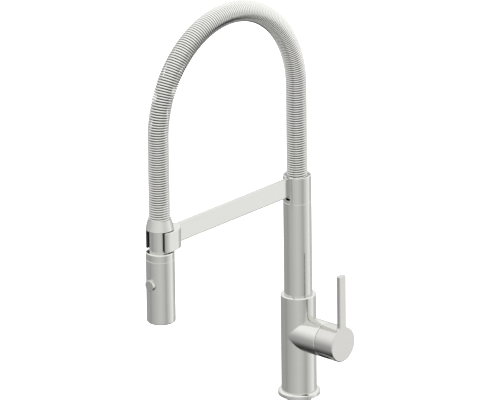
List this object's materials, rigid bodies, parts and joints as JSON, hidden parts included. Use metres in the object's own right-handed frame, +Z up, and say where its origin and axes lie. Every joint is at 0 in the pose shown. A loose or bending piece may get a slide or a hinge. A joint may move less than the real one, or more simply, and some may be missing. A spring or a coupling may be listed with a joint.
{
  "type": "kitchen mixer tap",
  "caption": "Tall kitchen mixer tap with side lever, swivelling column, sprung arch hose and a docked pull-out spray on a flat arm.",
  "frame": {"origin": "on the worktop surface, at the middle of the base flange's underside", "axes": "+Z up along the column, -Y towards the spray and the user, +X towards the lever"},
  "size_m": [0.0942, 0.2816, 0.5737],
  "materials": {
    "satin_steel": "fine satin brushed stainless steel",
    "spring_steel": "drawn stainless wire, satin",
    "bright_trim": "polished",
    "plated_steel": "zinc plated",
    "brass": "machined",
    "black_rubber": "moulded, matt",
    "black_plastic": "moulded, fine texture",
    "hose_jacket": "braided nylon over rubber",
    "white_plastic": "natural acetal",
    "ceramic": "lapped ceramic",
    "grey_plastic": "moulded, satin"
  },
  "bodies": {
    "base": {"base_flange": "satin_steel", "base_gasket": "black_rubber", "mounting_shank": "plated_steel", "deck_washer": "black_rubber", "clamp_washer": "plated_steel", "mounting_nut": "brass", "clamp_screws": "plated_steel", "body_casting": "satin_steel", "column_lock_screw": "plated_steel", "thrust_washer": "white_plastic", "cartridge_base": "white_plastic", "cartridge_seals": "black_rubber", "fixed_disc": "ceramic", "cartridge_housing": "white_plastic", "retaining_nut": "brass", "trim_dome": "bright_trim"},
    "turn_carrier": {"stem_carrier": "white_plastic", "pivot_pin": "plated_steel"},
    "disc": {"moving_disc": "ceramic"},
    "lever": {"cartridge_stem": "brass", "handle": "satin_steel", "handle_set_screw": "plated_steel", "handle_plug": "grey_plastic"},
    "column": {"swivel_spigot": "brass", "spigot_seals": "black_rubber", "column_tube": "satin_steel", "arm_sleeve": "satin_steel", "spring_socket": "plated_steel", "support_arm": "satin_steel", "holder_block": "satin_steel", "holder_liner": "black_plastic", "arm_screws": "plated_steel", "guard_spring": "spring_steel", "inner_hose": "hose_jacket", "column_nipple": "brass", "column_crimp": "bright_trim"},
    "hose_end": {"spring_ferrule": "satin_steel", "spray_neck": "satin_steel", "neck_seal": "black_rubber", "spray_nipple": "brass", "spray_crimp": "bright_trim"},
    "spray": {"spray_shell": "satin_steel", "spray_collar": "satin_steel", "swivel_bearing": "white_plastic", "spray_waterway": "white_plastic", "check_valve": "white_plastic", "spray_face": "grey_plastic", "nozzle_ring": "grey_plastic", "aerator": "grey_plastic", "button_spring": "spring_steel"},
    "button": {"diverter_button": "satin_steel", "button_seal": "black_rubber"}
  },
  "joints": [
    {"name": "column_swivel", "type": "hinge", "parent": "base", "child": "column", "pos_m": [0, 0, 0.1], "axis": [0, 0, 1], "range_deg": [-180, 180]},
    {"name": "temperature_turn", "type": "hinge", "parent": "base", "child": "turn_carrier", "pos_m": [0.034, 0, 0.0779], "axis": [1, 0, 0], "range_deg": [-45, 45]},
    {"name": "flow_tilt", "type": "hinge", "parent": "turn_carrier", "child": "lever", "pos_m": [0.034, 0, 0.0779], "axis": [0, 1, 0], "range_deg": [0, 12]},
    {"name": "disc_slide", "type": "slide", "parent": "turn_carrier", "child": "disc", "axis": [0, 0, 1], "range_m": [0, 0.0025]},
    {"name": "spray_swing", "type": "hinge", "parent": "column", "child": "hose_end", "pos_m": [0, -0.237, 0.3828], "axis": [-1, 0, 0], "range_deg": [0, 28], "stiffness_Nm_per_rad": 0.8, "deforming": ["guard_spring", "inner_hose"]},
    {"name": "spray_turn", "type": "hinge", "parent": "hose_end", "child": "spray", "pos_m": [0, -0.237, 0.2], "axis": [0, 0, 1], "continuous": true},
    {"name": "button_press", "type": "slide", "parent": "spray", "child": "button", "axis": [0, 1, 0], "range_m": [0, 0.002], "stiffness_N_per_m": 500, "deforming": ["button_spring"]}
  ],
  "couplings": [
    {"joint": "disc_slide", "follows": "flow_tilt", "m_per_rad": 0.01117}
  ]
}
